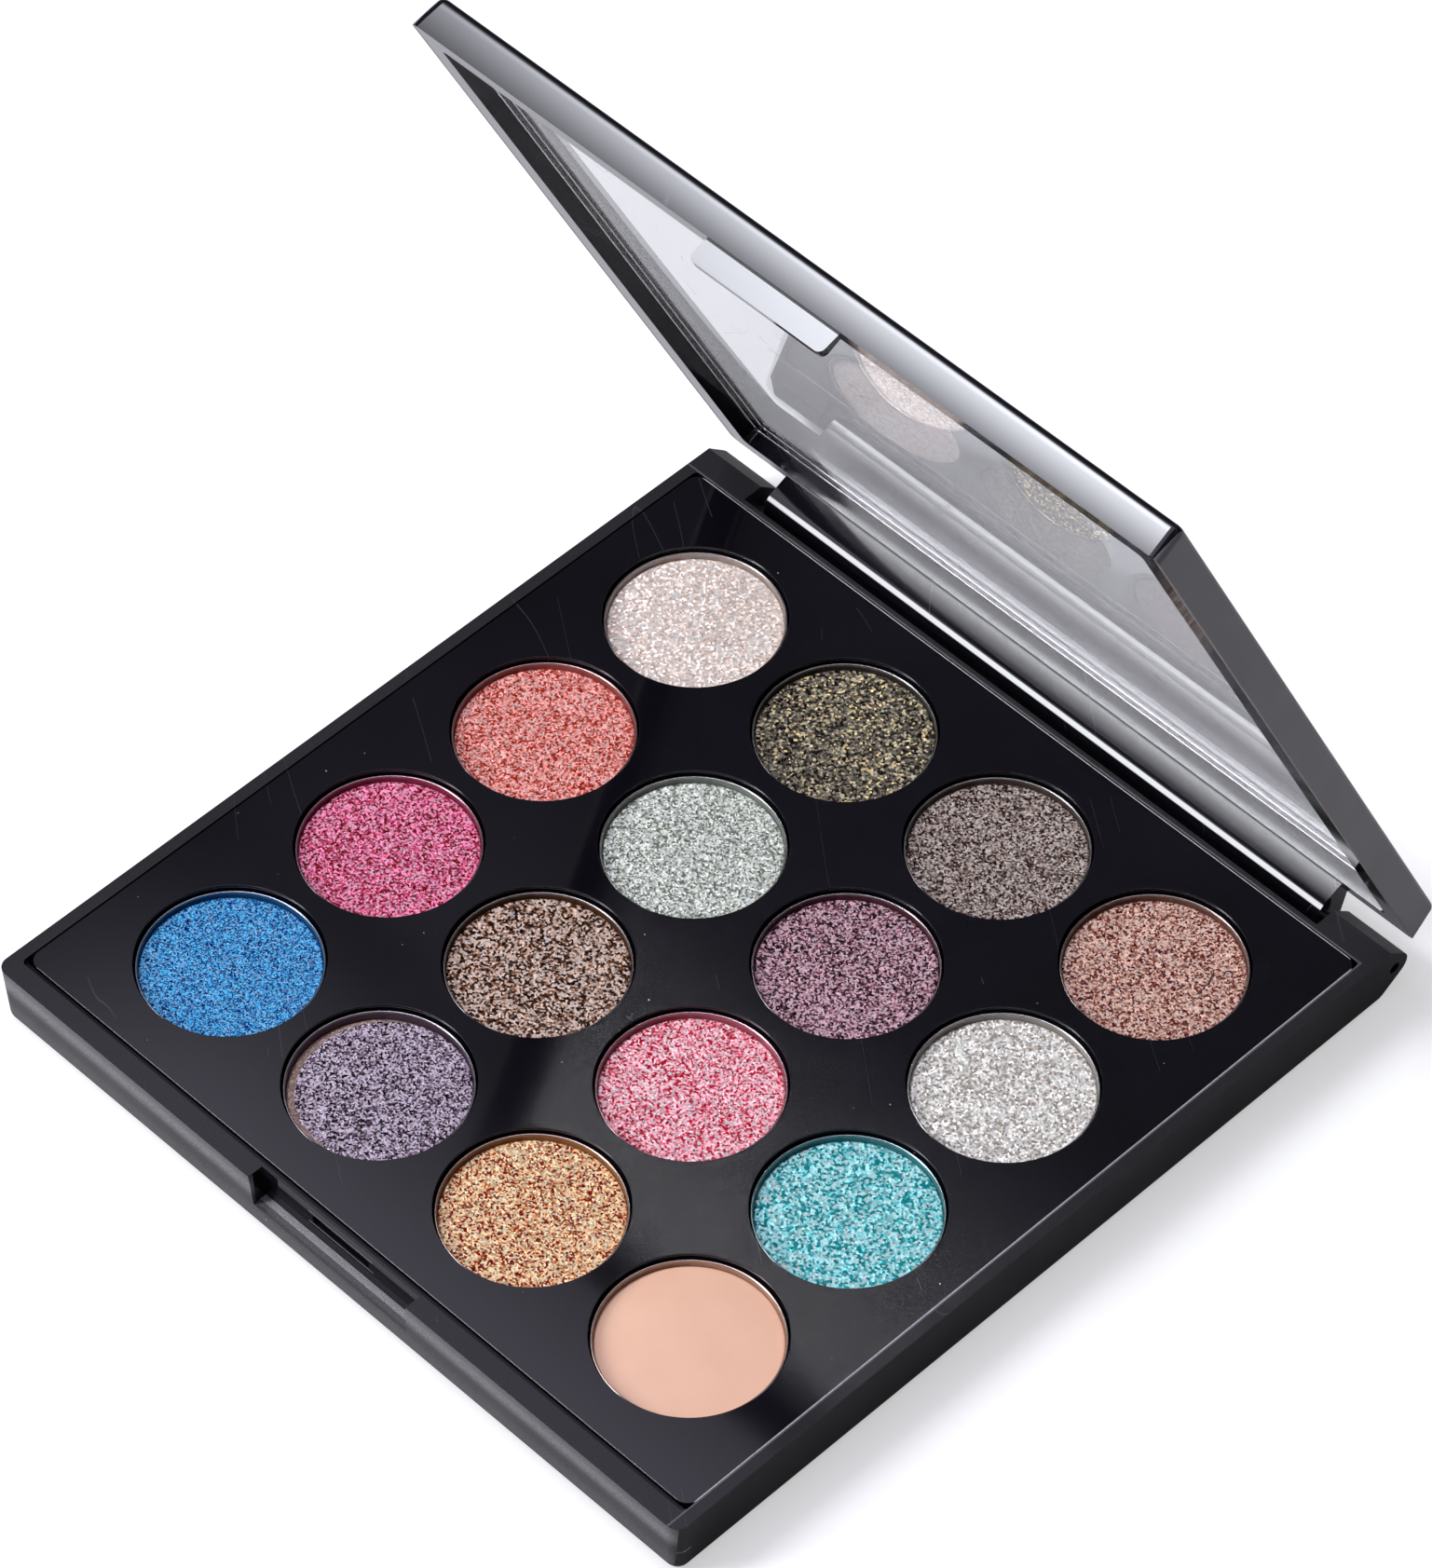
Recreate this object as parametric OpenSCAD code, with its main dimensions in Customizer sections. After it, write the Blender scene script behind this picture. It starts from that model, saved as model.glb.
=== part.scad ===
// Sixteen-shade eyeshadow palette: a shallow moulded base with a pan tray,
// loose round pans, and a framed clear lid on two short hinge pins.
// Millimetres, +Z up. The origin is on the underside, below the middle of the pan grid.
// +X runs along the hinge to the right, +Y runs from the front latch to the hinge.

/* [Pans] */
// Outer diameter of a pan
pan_d = 26; // [22:0.5:28]
// Height of a pan
pan_h = 4.5; // [3:0.1:5]
// Wall of a pan
pan_wall = 0.35; // [0.2:0.05:0.6]
// Floor of a pan
pan_floor = 0.35; // [0.2:0.05:0.6]
// Rounding under the foot of a pan
pan_foot = 0.6; // [0.3:0.1:1]
// Distance between the middles of two neighbouring pans
pan_pitch = 29.56; // [28.5:0.1:34]
// How far the powder lies below the rim of its pan
powder_drop = 0.7; // [0.3:0.1:1.2]
// Rise of the cream shade at its middle, above the powder level
cream_crown = 0.5; // [0.2:0.1:0.6]
// Thickness of the glue spot under a pan
glue_t = 0.3; // [0.1:0.05:0.5]
// Diameter of the glue spot
glue_d = 19; // [12:0.5:20]

/* [Tray] */
// Border of the tray outside the outer pans
tray_border = 6.5; // [4:0.5:12]
// Thickness of the tray plate
tray_t = 1.4; // [1:0.1:2]
// Corner radius of the tray
tray_corner = 2; // [1.5:0.1:4]
// Gap around a pan in its hole
pan_gap = 0.25; // [0.15:0.05:0.6]
// How far a pan's rim lies below the top of the tray
pan_sink = 0.8; // [0.3:0.1:1.2]
// Bevel around the mouth of each hole
hole_bevel = 0.2; // [0.1:0.05:0.4]
// Wall of the collar under each hole
collar_t = 0.8; // [0.6:0.05:1]
// Depth of the collars and ribs under the tray
collar_h = 1.2; // [0.6:0.1:1.6]
// Thickness of the ribs under the tray
rib_t = 0.8; // [0.5:0.1:1.2]

/* [Base] */
// Height of the base
base_h = 10.4; // [9.6:0.1:13]
// Floor of the base
floor_t = 1.6; // [1.2:0.1:2]
// Width of the rim beside the tray
side_rim = 1.9; // [1.6:0.1:3]
// Width of the rim in front of the tray, which holds the latch recess
front_rim = 3.8; // [3.6:0.1:5]
// Thickness of the wall behind the tray, between the hinge ears
rear_wall = 0.9; // [0.7:0.1:1.2]
// How far the tray top lies below the rim
tray_sink = 0.2; // [0:0.05:0.4]
// Gap around the tray in its seat
tray_gap = 0.1; // [0.05:0.05:0.2]
// Width of the groove between the front rim and the tray
groove_w = 0.8; // [0.4:0.1:1]
// Depth of that groove
groove_depth = 0.7; // [0.3:0.1:0.9]
// Corner radius of the tray seat
seat_corner = 0.8; // [0.5:0.1:1.4]
// Width of the ledge that carries the tray
ledge_w = 1.6; // [1:0.1:2.5]
// Inward lean of the outer walls over their height
base_draft = 0.5; // [0.2:0.1:1.5]
// Radius of the upright corners
base_corner = 1.9; // [1:0.1:3]
// Rounding of the bottom edge
base_foot = 1.6; // [0.8:0.1:2.4]
// Rounding of the rim's outer edge
rim_edge = 0.3; // [0.1:0.05:0.5]
// Outer diameter of the ring that carries a pan
boss_d = 20; // [14:0.5:21]
// Wall of the ring that carries a pan
boss_wall = 1.6; // [1:0.1:3]

/* [Hinge] */
// Distance from the tray's rear edge to the hinge axis
hinge_back = 5.7; // [5.4:0.1:7]
// Distance from the base rim down to the hinge axis
hinge_drop = 4.4; // [4:0.1:4.8]
// Radius of the hinge barrel
barrel_r = 2.5; // [2.2:0.1:2.7]
// Radius of the hinge pins
pin_r = 0.9; // [0.7:0.05:1.2]
// Running gap around a pin in the lid bar
pin_run = 0.05; // [0.02:0.01:0.1]
// Gap around a pin pressed into its ear
pin_press = 0.01; // [0.005:0.005:0.02]
// Length of a pin inside the lid bar
pin_bite = 6.5; // [4:0.5:12]
// How far a pin's end lies below the side of the base
pin_recess = 0.9; // [0.3:0.1:1.5]
// Width of a hinge ear
ear_w = 10.6; // [7:0.1:16]
// Gap between an ear and the end of the lid bar
ear_gap = 1.8; // [0.5:0.1:2.5]
// Slope of the ear's rear top face, in degrees from level
ear_slope = 41; // [36:1:50]
// Slope of the base's rear underside, in degrees from level
heel_slope = 37; // [30:1:50]

/* [Lid] */
// Thickness of the lid
lid_h = 5.4; // [5:0.1:8]
// How far the lid's sides stand back from the base rim
lid_inset = 0; // [0:0.1:0.8]
// Distance from the hinge axis forward to the lid's rear face
lid_rear = 1.1; // [1:0.1:2.4]
// Width of the lid frame
frame_w = 4; // [3.6:0.1:7]
// Seam between the closed lid and the base
lid_seam = 0.1; // [0.05:0.05:0.3]
// Inward lean of the lid's outer walls over their height
lid_draft = 0.5; // [0.2:0.1:1]
// Radius of the lid's upright corners
lid_corner = 1.4; // [1:0.1:3]
// Rounding of the lid's top edge
lid_edge = 0.9; // [0.4:0.1:1.4]
// Corner radius of the lid's opening
opening_corner = 1; // [0.5:0.1:2]
// Thickness of the window's outer plate
window_t = 1; // [0.8:0.1:1.6]
// Depth of the window's inner step, which fits the opening
window_step = 0.8; // [0.4:0.1:1.4]
// How far the window overlaps the frame
window_lap = 1.5; // [1:0.1:2]
// Gap around the window in its seat
window_gap = 0.1; // [0.05:0.05:0.2]
// Angle of the open lid, 0 when shut
lid_open = 64.4; // [0:0.2:120]
// Thickness of the bar that joins the lid to its pins, front to back of the axis
bar_front = 4.3; // [4:0.05:4.4]
// Depth of the bar below the hinge axis at its front
bar_drop = 1.4; // [1:0.1:1.8]
// Rounding of the bar's lower front edge
bar_round = 1.6; // [0.8:0.1:2]

/* [Latch] */
// Width of the latch tab
tab_w = 23.4; // [16:0.2:28]
// Length of the latch tab below the lid
tab_h = 3.7; // [3.2:0.1:5]
// Thickness of the latch tab
tab_t = 1.6; // [1.2:0.1:1.8]
// Radius of the latch tab's lower corners
tab_corner = 1; // [0.6:0.1:1.6]
// How far the latch tab stands back from the lid's front
tab_back = 0.1; // [0.1:0.05:0.3]
// Finger gap under the shut latch tab
tab_gap = 2.3; // [1:0.1:3]
// Width of the recess left and right of the tab
recess_side = 3.6; // [0.5:0.1:5]
// Depth of the recess from the rim's front edge
recess_depth = 2.5; // [2.3:0.1:2.7]
// How far the recess's side walls lean in at its floor
recess_lean = 0.5; // [0.2:0.1:1]
// Width of the catch slot in the recess
catch_w = 11; // [6:0.5:16]
// Height of the catch slot
catch_h = 1.8; // [1.2:0.1:2]
// Depth of the catch slot
catch_depth = 0.8; // [0.5:0.1:1]
// Depth of the catch slot's middle below the rim
catch_below = 2.3; // [2.1:0.1:2.6]
// Radius of the catch ridge on the tab
ridge_r = 0.5; // [0.4:0.05:0.6]
// How far the catch ridge stands out of the tab
ridge_out = 0.25; // [0.15:0.05:0.3]

/* [Hidden] */
$fn = 64;
// Shades from the front left to the rear right, with the colour of each
SHADES = [
    ["blue", "#3a7fbb"], ["slate_violet", "#84738a"], ["gold", "#d09f78"], ["peach_cream", "#ecbea9"],
    ["magenta", "#c46283"], ["brown", "#8b7068"], ["hot_pink", "#e08fa3"], ["turquoise", "#78b9c2"],
    ["coral", "#cf7d79"], ["mint", "#b6bab6"], ["plum", "#8a6373"], ["white", "#d2cbc9"],
    ["champagne", "#e6d5d0"], ["olive_black", "#665b51"], ["dark_taupe", "#7e706c"], ["rose_brown", "#ad8378"]
];
CREAM = "peach_cream";

row_count = 4;
arc_steps = 6;
sheet = 0.01;
over = 1;
far = 400;
black = "#1b1a1f";
steel = "#b9bbbe";

pan_r = pan_d / 2;
grid_reach = (row_count - 1) * pan_pitch / 2;
tray_half = grid_reach + pan_r + tray_border;
seat_half = tray_half + tray_gap;
tray_top = base_h - tray_sink;
tray_bottom = tray_top - tray_t;
pan_rim_z = tray_top - pan_sink;
pan_z = pan_rim_z - pan_h;
boss_top = pan_z - glue_t;

case_side = seat_half + side_rim;
case_front = seat_half + front_rim;
rear_face = seat_half + rear_wall;
hinge_y = tray_half + hinge_back;
hinge_z = base_h - hinge_drop;
side_at_hinge = case_side - base_draft * (1 - hinge_z / base_h);
ear_inner = case_side - ear_w;
bar_half = ear_inner - ear_gap;
pin_outer = side_at_hinge - pin_recess;
pin_len = pin_outer - bar_half + pin_bite;

lid_z = base_h + lid_seam;
lid_top = lid_z + lid_h;
lid_side = case_side - lid_inset;
lid_front = case_front - lid_inset;
lid_back = hinge_y - lid_rear;
opening_side = lid_side - frame_w;
opening_front = lid_front - frame_w;
opening_back = lid_back - frame_w;
recess_y = -case_front + recess_depth;
recess_half = tab_w / 2 + recess_side;
tab_z = lid_z - tab_h;
recess_z = tab_z - tab_gap;
catch_z = base_h - catch_below;

// Points along an arc, counter-clockwise
function arc(cx, cy, r, from, to) =
    [for (s = [0:arc_steps]) let (a = from + (to - from) * s / arc_steps) [cx + r * cos(a), cy + r * sin(a)]];

// Points of a rectangle with rounded corners
function rounded(x0, x1, y0, y1, r) = concat(
    arc(x1 - r, y1 - r, r, 0, 90),
    arc(x0 + r, y1 - r, r, 90, 180),
    arc(x0 + r, y0 + r, r, 180, 270),
    arc(x1 - r, y0 + r, r, 270, 360)
);

// Middle of the pan in a place of the grid, counted from the front left
function pan_x(i) = (i % row_count) * pan_pitch - grid_reach;
function pan_y(i) = floor(i / row_count) * pan_pitch - grid_reach;

// Inset of a rounded edge of radius r at a depth t below its outer tangent
function edge_inset(r, t) = t >= r ? 0 : r - sqrt(r * r - (r - t) * (r - t));

// A plate with rounded corners
module plate(x0, x1, y0, y1, r, z, t) {
    translate([0, 0, z])
        linear_extrude(t)
            polygon(rounded(x0, x1, y0, y1, r));
}

// A block whose section shrinks by the inset given for each height: levels are [z, inset]
module leaning_block(x, y0, y1, r, levels) {
    hull()
        for (level = levels)
            plate(-x + level[1], x - level[1], y0 + level[1], y1 - level[1], r, level[0], sheet);
}

// A profile in the YZ plane, drawn from x0 to x1
module across(x0, x1) {
    translate([x0, 0, 0])
        rotate([90, 0, 90])
            linear_extrude(x1 - x0)
                children();
}

// A cylinder along X
module along_x(r, x0, x1) {
    translate([x0, hinge_y, hinge_z])
        rotate([0, 90, 0])
            cylinder(r = r, h = x1 - x0);
}

// Places its children at every pan
module at_pans() {
    for (i = [0:len(SHADES) - 1])
        translate([pan_x(i), pan_y(i), 0])
            children();
}

// Turns the shut lid about the hinge to its rest place
module opened() {
    translate([0, hinge_y, hinge_z])
        rotate([-lid_open, 0, 0])
            translate([0, -hinge_y, -hinge_z])
                children();
}

// --- Base -------------------------------------------------------------

// Side view of the base: level top, sloped ear, round rear, sloping heel
module base_profile() {
    heel_a = heel_slope - 90;
    heel_y = hinge_y + barrel_r * cos(heel_a);
    heel_z = hinge_z + barrel_r * sin(heel_a);
    run = (heel_z + over) / tan(heel_slope);
    ear_a = 90 - ear_slope;
    ear_top_y = hinge_y + (barrel_r - sin(ear_a) * (base_h - hinge_z)) / cos(ear_a);
    polygon(concat(
        [[-far, -over], [heel_y - run, -over]],
        arc(hinge_y, hinge_z, barrel_r, heel_a, ear_a),
        [[ear_top_y, base_h], [-far, base_h]]
    ));
}

module base_outside() {
    foot = [for (s = [0:4]) base_foot * (1 - cos(90 * s / 4))];
    levels = concat(
        [for (z = foot) [z, base_draft * (1 - z / base_h) + edge_inset(base_foot, z)]],
        [[base_h - rim_edge, base_draft * rim_edge / base_h]],
        [[base_h - rim_edge / 4, edge_inset(rim_edge, rim_edge / 4)]],
        [[base_h - sheet, rim_edge]]
    );
    intersection() {
        leaning_block(case_side, -case_front, hinge_y + base_h, base_corner, levels);
        across(-far, far) base_profile();
    }
}

module latch_recess() {
    floor_half = recess_half - recess_lean;
    translate([0, recess_y, 0])
        rotate([90, 0, 0])
            linear_extrude(far)
                polygon([
                    [-floor_half, recess_z], [floor_half, recess_z],
                    [recess_half, base_h], [recess_half, base_h + over],
                    [-recess_half, base_h + over], [-recess_half, base_h]
                ]);
    translate([0, recess_y - over, catch_z])
        rotate([-90, 0, 0])
            linear_extrude(catch_depth + over)
                polygon(rounded(-catch_w / 2, catch_w / 2, -catch_h / 2, catch_h / 2, catch_h / 2 - sheet));
}

module base_shell() {
    color(black)
        difference() {
            base_outside();
            plate(-seat_half, seat_half, -seat_half, seat_half, seat_corner, tray_bottom, base_h);
            plate(-seat_half, seat_half, -seat_half - groove_w, 0, seat_corner, base_h - groove_depth, base_h);
            difference() {
                plate(ledge_w - seat_half, seat_half - ledge_w, ledge_w - seat_half, seat_half - ledge_w,
                    seat_corner, floor_t, base_h);
                at_pans()
                    difference() {
                        cylinder(d = boss_d, h = boss_top);
                        cylinder(d = boss_d - 2 * boss_wall, h = boss_top + over);
                    }
            }
            translate([-ear_inner, rear_face, -over])
                cube([2 * ear_inner, far, base_h + 2 * over]);
            along_x(pin_r + pin_press, -far, far);
            latch_recess();
        }
}

// --- Tray -------------------------------------------------------------

module pan_tray() {
    hole_r = pan_r + pan_gap;
    rib_reach = seat_half - ledge_w - tray_gap - over;
    color(black)
        difference() {
            union() {
                plate(-tray_half, tray_half, -tray_half, tray_half, tray_corner, tray_bottom, tray_t);
                at_pans()
                    translate([0, 0, tray_bottom - collar_h])
                        cylinder(r = hole_r + collar_t, h = collar_h + over);
                for (k = [1:row_count - 1]) {
                    rib_place = (k - row_count / 2) * pan_pitch;
                    translate([rib_place - rib_t / 2, -rib_reach, tray_bottom - collar_h])
                        cube([rib_t, 2 * rib_reach, collar_h + over]);
                    translate([-rib_reach, rib_place - rib_t / 2, tray_bottom - collar_h])
                        cube([2 * rib_reach, rib_t, collar_h + over]);
                }
            }
            at_pans()
                union() {
                    cylinder(r = hole_r, h = base_h + over);
                    translate([0, 0, tray_top - hole_bevel])
                        cylinder(r1 = hole_r, r2 = hole_r + hole_bevel + over, h = hole_bevel + over);
                }
        }
}

// --- Pans and shades --------------------------------------------------

module pan_glue_spots() {
    color("#d8d2c4")
        at_pans()
            translate([0, 0, boss_top])
                cylinder(d = glue_d, h = glue_t);
}

// Half section of a pan: pressed cup with a rounded foot
module pan_profile() {
    inner_foot = pan_foot - pan_wall + 0.1;
    polygon(concat(
        [[0, 0]],
        arc(pan_r - pan_foot, pan_foot, pan_foot, -90, 0),
        [[pan_r, pan_h], [pan_r - pan_wall, pan_h]],
        [for (s = [arc_steps:-1:0]) let (a = -90 + 90 * s / arc_steps)
            [pan_r - pan_wall - inner_foot + inner_foot * cos(a), pan_floor + inner_foot + inner_foot * sin(a)]],
        [[0, pan_floor]]
    ));
}

module pan(i) {
    color(steel)
        translate([pan_x(i), pan_y(i), pan_z])
            rotate_extrude()
                pan_profile();
}

// Half section of a pressed shade: fills the pan up to its level, with a worn edge or a crown
module shade_profile(crown) {
    inner_foot = pan_foot - pan_wall + 0.1;
    fill_r = pan_r - pan_wall;
    fill_h = pan_h - powder_drop;
    edge_r = 0.3;
    crown_r = crown > 0 ? (fill_r * fill_r + crown * crown) / (2 * crown) : 0;
    crown_a = crown > 0 ? acos(fill_r / crown_r) : 0;
    top = crown > 0
        ? arc(0, fill_h + crown - crown_r, crown_r, crown_a, 90)
        : concat(arc(fill_r - edge_r, fill_h - edge_r, edge_r, 0, 90), [[0, fill_h]]);
    polygon(concat(
        [[0, pan_floor]],
        arc(fill_r - inner_foot, pan_floor + inner_foot, inner_foot, -90, 0),
        top
    ));
}

module shade(i) {
    color(SHADES[i][1])
        translate([pan_x(i), pan_y(i), pan_z])
            rotate_extrude()
                shade_profile(SHADES[i][0] == CREAM ? cream_crown : 0);
}

// --- Hinge ------------------------------------------------------------

module hinge_pin(side) {
    inner = pin_outer - pin_len;
    color(steel)
        along_x(pin_r, side > 0 ? inner : -pin_outer, side > 0 ? pin_outer : -inner);
}

// Section of the bar that carries the lid on its pins: round about the axis, flat front
module bar_profile() {
    front = hinge_y - bar_front;
    low = hinge_z - bar_drop;
    root = lid_z + over;
    polygon(concat(
        [[hinge_y - lid_rear - lid_draft, root], [front, root]],
        arc(front + bar_round, low + bar_round, bar_round, 180, 270),
        arc(hinge_y, hinge_z, barrel_r, -100, 50),
        [[hinge_y - lid_rear, lid_z]]
    ));
}

// --- Lid --------------------------------------------------------------

module lid_outside() {
    edge = [for (s = [0:4]) lid_edge * (1 - cos(90 * s / 4))];
    levels = concat(
        [[lid_z, 0]],
        [for (t = edge) [lid_top - sheet - t, lid_draft * (1 - t / lid_h) + edge_inset(lid_edge, t)]]
    );
    leaning_block(lid_side, -lid_front, lid_back, lid_corner, levels);
}

module latch_tab() {
    outer = tab_back - lid_front;
    translate([0, outer + tab_t, 0])
        rotate([90, 0, 0])
            linear_extrude(tab_t)
                polygon(concat(
                    [[tab_w / 2, lid_z + over], [-tab_w / 2, lid_z + over]],
                    arc(tab_corner - tab_w / 2, tab_z + tab_corner, tab_corner, 180, 270),
                    arc(tab_w / 2 - tab_corner, tab_z + tab_corner, tab_corner, 270, 360)
                ));
    translate([0, outer + tab_t + ridge_out - ridge_r, catch_z])
        rotate([0, 90, 0])
            cylinder(r = ridge_r, h = catch_w - catch_h, center = true);
}

// The lid's opening, or the window's step in it when shrunk by a gap
module lid_opening(gap, grow, z, t) {
    g = grow - gap;
    plate(-opening_side - g, opening_side + g, -opening_front - g, opening_back + g,
        opening_corner + grow, z, t);
}

module lid_frame() {
    color(black)
        opened()
            difference() {
                union() {
                    difference() {
                        lid_outside();
                        lid_opening(0, 0, lid_z - over, lid_h + 2 * over);
                        lid_opening(0, window_lap, lid_top - window_t, window_t + over);
                    }
                    across(-bar_half, bar_half) bar_profile();
                    latch_tab();
                }
                along_x(pin_r + pin_run, bar_half - pin_bite - pin_run, far);
                along_x(pin_r + pin_run, -far, pin_bite + pin_run - bar_half);
            }
}

module lid_window() {
    color("#dfe6e8", 0.35)
        opened()
            union() {
                lid_opening(window_gap, window_lap, lid_top - window_t, window_t);
                lid_opening(window_gap, 0, lid_top - window_t - window_step, window_step + sheet);
            }
}

// --- The palette ------------------------------------------------------

base_shell();
pan_tray();
pan_glue_spots();
for (i = [0:len(SHADES) - 1]) {
    pan(i);
    shade(i);
}
hinge_pin(-1);  // hinge_pin_left
hinge_pin(1);  // hinge_pin_right
lid_frame();
lid_window();
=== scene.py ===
"""Looks of the sixteen-shade eyeshadow palette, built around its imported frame."""
import math

import bpy
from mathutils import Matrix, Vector


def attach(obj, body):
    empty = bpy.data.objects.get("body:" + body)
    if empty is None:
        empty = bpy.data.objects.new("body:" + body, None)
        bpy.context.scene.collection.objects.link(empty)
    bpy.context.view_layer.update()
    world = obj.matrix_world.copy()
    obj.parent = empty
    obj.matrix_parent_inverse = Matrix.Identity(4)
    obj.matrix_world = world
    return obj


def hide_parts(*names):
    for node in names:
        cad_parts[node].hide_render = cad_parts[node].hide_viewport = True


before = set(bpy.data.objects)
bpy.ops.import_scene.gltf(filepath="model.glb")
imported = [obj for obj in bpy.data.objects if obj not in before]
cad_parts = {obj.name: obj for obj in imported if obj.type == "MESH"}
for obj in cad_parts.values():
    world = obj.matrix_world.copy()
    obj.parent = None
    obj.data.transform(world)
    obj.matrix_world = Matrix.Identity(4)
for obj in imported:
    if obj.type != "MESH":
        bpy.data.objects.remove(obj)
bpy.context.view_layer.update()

# ---------------------------------------------------------------- sizes, in millimetres
MM = 0.001
FAR = 90

# grid and pans
PITCH = 29.56
GRID_REACH = 1.5 * PITCH
PAN_R = 13.0
PAN_H = 4.5
PAN_WALL = 0.35
PAN_FOOT = 0.6
PAN_LIP = 0.15
PAN_Z = 4.9

# powders, with the chip and the crack placed from the middle of their pans
POWDER_R = 12.6
CREAM_R = 12.62
POWDER_EDGE = 0.3
POWDER_RINGS = 44
POWDER_DROP = 0.7
SETTLED = 0.25
POWDER_TOP = PAN_Z + PAN_H - POWDER_DROP - SETTLED
CREAM_CROWN = 0.45
CHIP_X, CHIP_Y = 0.72, 0.27
CHIP_REACH = 12.1
CHIP_DEPTH = 0.45
CRACK_X, CRACK_Y = 6.5, 3.1

# tray
TRAY_HALF = 63.84
TRAY_TOP = 10.2
TRAY_BOTTOM = 8.8
TRAY_CORNER = 2.0
HOLE_R = 13.25
COLLAR_T = 0.8
COLLAR_H = 1.2
RIB_T = 0.8
RIB_REACH = 61.2

# base
SIDE = 65.84
FRONT = 67.74
BASE_H = 10.4
BASE_DRAFT = 0.5
BASE_CORNER = 1.9
BASE_FOOT = 1.6
FLOOR_T = 1.6
REAR_FACE = 64.84
SEAT_HALF = 63.94
SEAT_CORNER = 0.8
GROOVE_W = 0.8
GROOVE_DEPTH = 0.7
WELL_HALF = 62.34
WELL_TOP = 9.5
RING_R = 10
RING_BORE_R = 8.4
RING_TOP = 4.6
RECESS_Y = -65.24
RECESS_Z = 4.5
RECESS_HALF = 15.3
RECESS_LEAN = 0.5
CATCH_W = 11
CATCH_H = 1.8
CATCH_DEPTH = 0.8
CATCH_ROUND = 0.88
CATCH_Z = 8.1
EDGE = 0.16

# hinge, angles in degrees
HINGE_Y = 69.54
HINGE_Z = 6.0
BARREL_R = 2.5
EAR_FACE = 49
HEEL_FACE = -53
EAR_INNER = 55.24
PIN_R = 0.9
PIN_OUTER = 64.73
PIN_BITE = 6.5
PIN_PRESS = 0.01
PIN_RUN = 0.05
PIN_EDGE = 0.15
PIN_HOLE = (50, 70)
PIN_BORE_END = 60

# lid shut, each cut a point and a lean in degrees, each face of the bar a direction and a turn in degrees
LID_Z = 10.5
LID_TOP = 15.9
LID_BACK = 68.44
LID_DRAFT = 0.5
LID_CORNER = 1.4
LID_EDGE = 0.9
LID_OPEN = 64.4
LID_FRONT_CUTS = ((-67.74, 10.5, 3.1), (-67.648, 12.2, 5.3), (-67.463, 14.2, 8.6))
OPENING = ((-61.84, 61.84), (-63.74, 70))
OPENING_REAR_CUTS = ((64.44, 10.5, 4.0), (64.52, 11.7, -0.5))
OPENING_CORNER = 1.0
WINDOW_SEAT = ((-63.34, 63.34), (-65.24, 65.94))
WINDOW_SEAT_CORNER = 2.5
BAR_HALF = 53.44
BAR_FRONT = 4.3
BAR_FRONT_CUTS = ((8.9, 2.8), (8.1, 1.2), (7.2, -1.5))
BAR_SLOPE, BAR_SLOPE_TURN = (0, 0.6906, 0.7232), 46.3
BAR_UNDER, BAR_UNDER_TURN = (0, -0.4243, -0.9053), 65
BAR_REAR_ROUND = 3.2
BAR_FRONT_ROUND = 2.35
TAB_HALF = 11.7
TAB_H = 3.7
TAB_Y = (0.1 - FRONT, 1.7 - FRONT)
TAB_DRAFT = 0.68
TAB_CORNER = 1.0
RIDGE_R = 0.5
RIDGE_OUT = 0.25
RIDGE_HALF = 4.6

# window shut
WINDOW_T = 1.0
WINDOW_STEP = 0.8
WINDOW_PLATE = ((-63.24, 63.24), (-65.14, 65.84))
WINDOW_CORNER = 2.4
STEP_SIDE, STEP_FRONT, STEP_REAR = 61.74, -63.64, 64.34
STEP_CORNER = 0.9
WINDOW_RINGS = ((0.05, 12.9), (1.0, 13.5))
WINDOW_RING_T = 0.7
WINDOW_RING_TOP = 14.2
WINDOW_RING_CORNER = 0.6
WINDOW_EDGE = 0.12

# where the finishes change, and how much painted sheen the front wall gets from its foot up, standing in for the
# light it reflects
WALL_X = 65.1
FRONT_Y = -67.0
EARS_Y = 65.4
RIM_Z = 10.3
# the front wall's painted sheen: its share at the foot, then changes that climb in between two heights
FRONT_SHEEN = 0.27
FRONT_SHEEN_CHANGES = ((2.5, 5.0, -0.115), (5.6, 8.1, 0.45), (8.3, 10.0, -0.24))

SHADES = [
    "blue", "slate_violet", "gold", "peach_cream",
    "magenta", "brown", "hot_pink", "turquoise",
    "coral", "mint", "plum", "white",
    "champagne", "olive_black", "dark_taupe", "rose_brown",
]


# ---------------------------------------------------------------- modelling

def let_go():
    """Leaves nothing selected."""
    bpy.ops.object.select_all(action="DESELECT")


def take(piece):
    """Selects one piece and makes it the active one."""
    let_go()
    piece.select_set(True)
    bpy.context.view_layer.objects.active = piece


def block(name, x, y, z):
    """A block between pairs of millimetre limits, its place held in its mesh."""
    let_go()
    middle = [(low + high) / 2 * MM for low, high in (x, y, z)]
    size = [(high - low) * MM for low, high in (x, y, z)]
    bpy.ops.mesh.primitive_cube_add(size=1, location=middle, scale=size)
    piece = bpy.context.active_object
    piece.name = name
    bpy.ops.object.transform_apply(location=True, rotation=True, scale=True)
    return piece


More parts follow.
